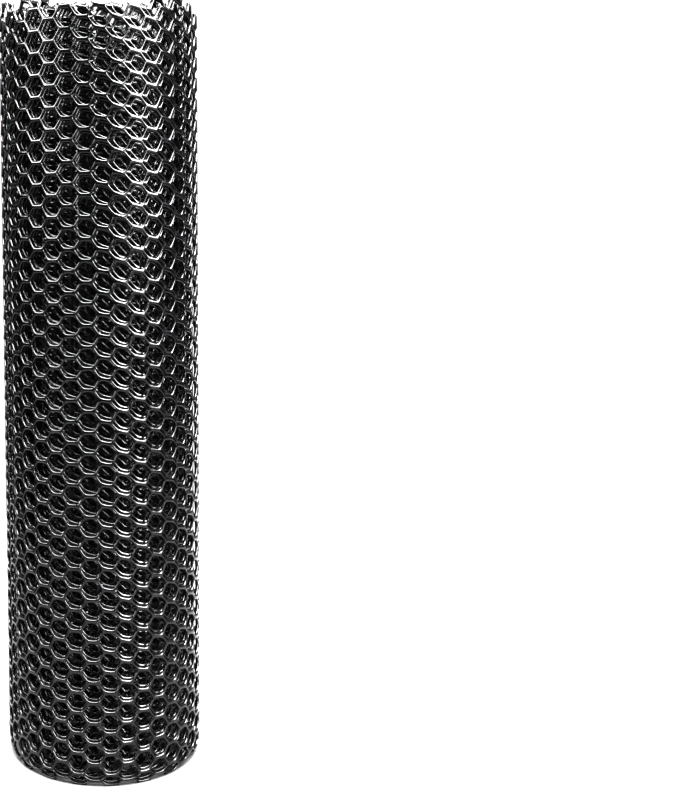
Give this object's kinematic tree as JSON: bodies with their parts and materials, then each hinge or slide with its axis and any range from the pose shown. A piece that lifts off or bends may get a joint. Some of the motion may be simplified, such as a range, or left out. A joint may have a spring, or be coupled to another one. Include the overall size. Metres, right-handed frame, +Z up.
{
  "type": "roll of plastic mesh",
  "caption": "Upright roll of black plastic netting with hexagonal cells, wound loosely round an open core, for fencing, guarding and plant support.",
  "frame": {"origin": "middle of the base, at the level that the roll stands on", "axes": "+Z up along the roll's axis; +Y towards the back, where the sheet's outer end lies; +X to the right"},
  "size_m": [0.1578, 0.1592, 0.6],
  "materials": {
    "black_plastic": "black extruded polyethylene, glossy, with faint draw lines along the strands"
  },
  "bodies": {
    "root": {"mesh_sheet": "black_plastic"}
  },
  "joints": []
}
